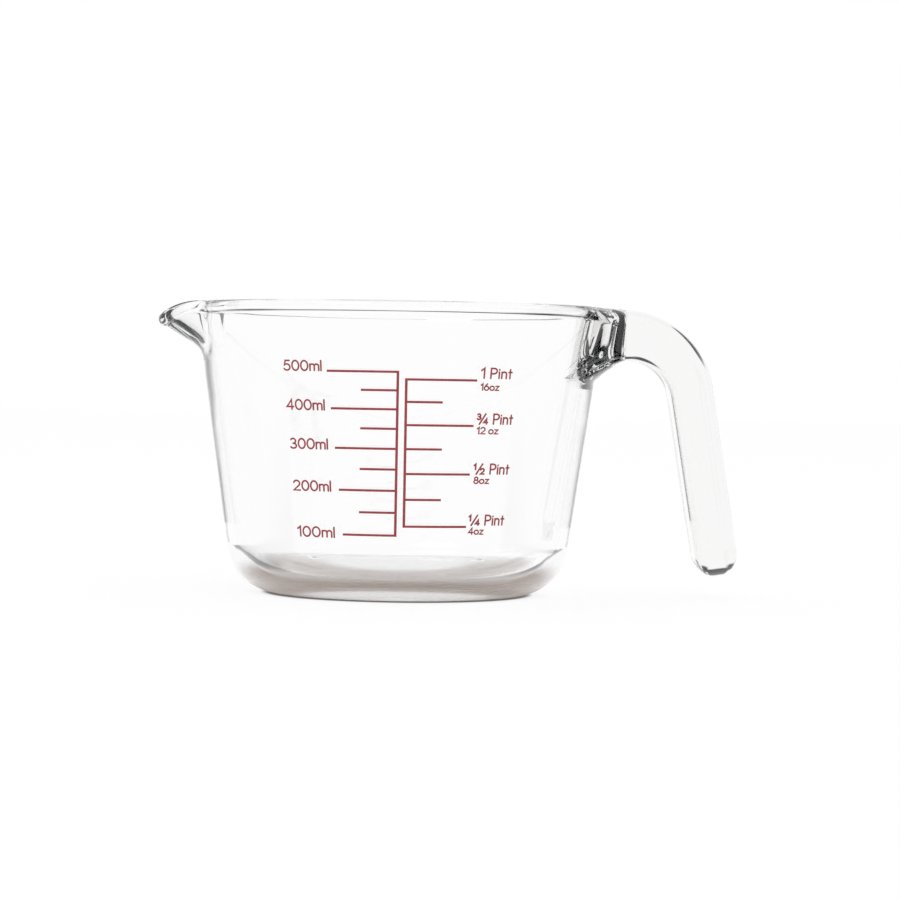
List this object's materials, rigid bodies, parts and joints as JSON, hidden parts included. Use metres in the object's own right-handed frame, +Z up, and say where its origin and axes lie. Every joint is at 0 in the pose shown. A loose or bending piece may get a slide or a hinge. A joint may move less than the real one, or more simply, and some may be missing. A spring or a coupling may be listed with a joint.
{
  "type": "measuring jug",
  "caption": "Clear pressed glass measuring jug with a leaning round bowl, a pulled spout, an open hooked handle and two printed volume scales",
  "frame": {"origin": "Centre of the foot ring, on the bowl's axis, in the plane that the jug stands on", "axes": "+Z up along the bowl's axis, +X toward the handle, -X toward the spout, -Y toward the printed scales"},
  "size_m": [0.1746, 0.1236, 0.0865],
  "materials": {
    "glass": "clear pressed glass",
    "enamel": "dark red fired enamel"
  },
  "bodies": {
    "root": {"glass_jug": "glass", "metric_scale": "enamel", "ounce_scale": "enamel"}
  },
  "joints": []
}
